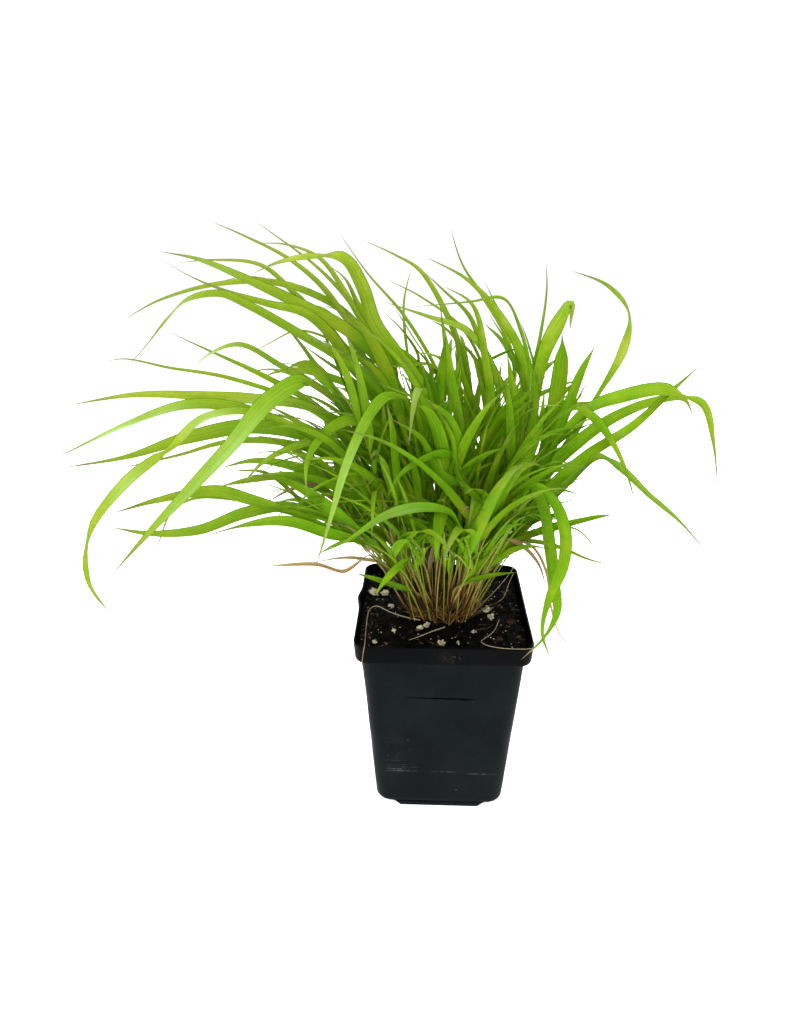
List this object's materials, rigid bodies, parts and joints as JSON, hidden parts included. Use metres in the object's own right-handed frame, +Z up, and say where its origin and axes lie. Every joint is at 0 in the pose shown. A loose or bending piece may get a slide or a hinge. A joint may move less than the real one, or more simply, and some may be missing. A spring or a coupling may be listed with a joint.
{
  "type": "potted japanese forest grass",
  "caption": "Arching clump of bamboo-like forest grass with long tapering leaves on thin stems, rooted in potting soil in a square black plastic nursery pot with a deep rim.",
  "frame": {"origin": "on the ground under the middle of the pot's flat base", "axes": "+Z up out of the soil, -Y towards the front, where the pot's slit is, +X to the right; the tuft spreads widest along X"},
  "size_m": [0.3577, 0.3259, 0.3382],
  "materials": {
    "pot": "semi-matte, faint scuffs",
    "soil": "rough, dark, with bark chips and pale perlite",
    "leaf": "satin, finely veined, lets light through",
    "dry_leaf": "dry, matte",
    "straw": "dry, matte"
  },
  "bodies": {
    "root": {"pot": "pot", "soil": "soil", "leafy_stem_01": "leaf", "leafy_stem_02": "leaf", "leafy_stem_03": "leaf", "leafy_stem_04": "leaf", "leafy_stem_05": "leaf", "leafy_stem_06": "leaf", "leafy_stem_07": "leaf", "leafy_stem_08": "leaf", "leafy_stem_09": "leaf", "leafy_stem_10": "leaf", "leafy_stem_11": "leaf", "leafy_stem_12": "leaf", "leafy_stem_13": "leaf", "leafy_stem_14": "leaf", "leafy_stem_15": "leaf", "leafy_stem_16": "leaf", "leafy_stem_17": "leaf", "leafy_stem_18": "leaf", "leafy_stem_19": "leaf", "leafy_stem_20": "leaf", "leafy_stem_21": "leaf", "leafy_stem_22": "leaf", "leafy_stem_23": "dry_leaf", "leafy_stem_24": "leaf", "leafy_stem_25": "leaf", "leafy_stem_26": "leaf", "leafy_stem_27": "leaf", "leafy_stem_28": "leaf", "leafy_stem_29": "leaf", "leafy_stem_30": "leaf", "leafy_stem_31": "leaf", "leafy_stem_32": "leaf", "leafy_stem_33": "leaf", "leafy_stem_34": "leaf", "leafy_stem_35": "leaf", "leafy_stem_36": "leaf", "leafy_stem_37": "leaf", "leafy_stem_38": "leaf", "leafy_stem_39": "leaf", "leafy_stem_40": "leaf", "leafy_stem_41": "leaf", "leafy_stem_42": "leaf", "leafy_stem_43": "dry_leaf", "leafy_stem_44": "leaf", "leafy_stem_45": "leaf", "leafy_stem_46": "leaf", "leafy_stem_47": "leaf", "leafy_stem_48": "leaf", "leafy_stem_49": "leaf", "leafy_stem_50": "leaf", "leafy_stem_51": "leaf", "leafy_stem_52": "leaf", "leafy_stem_53": "leaf", "leafy_stem_54": "leaf", "straw_over_rim": "straw", "straw_pair": "straw", "straw_on_soil": "straw", "straw_by_rim": "straw"}
  },
  "joints": []
}
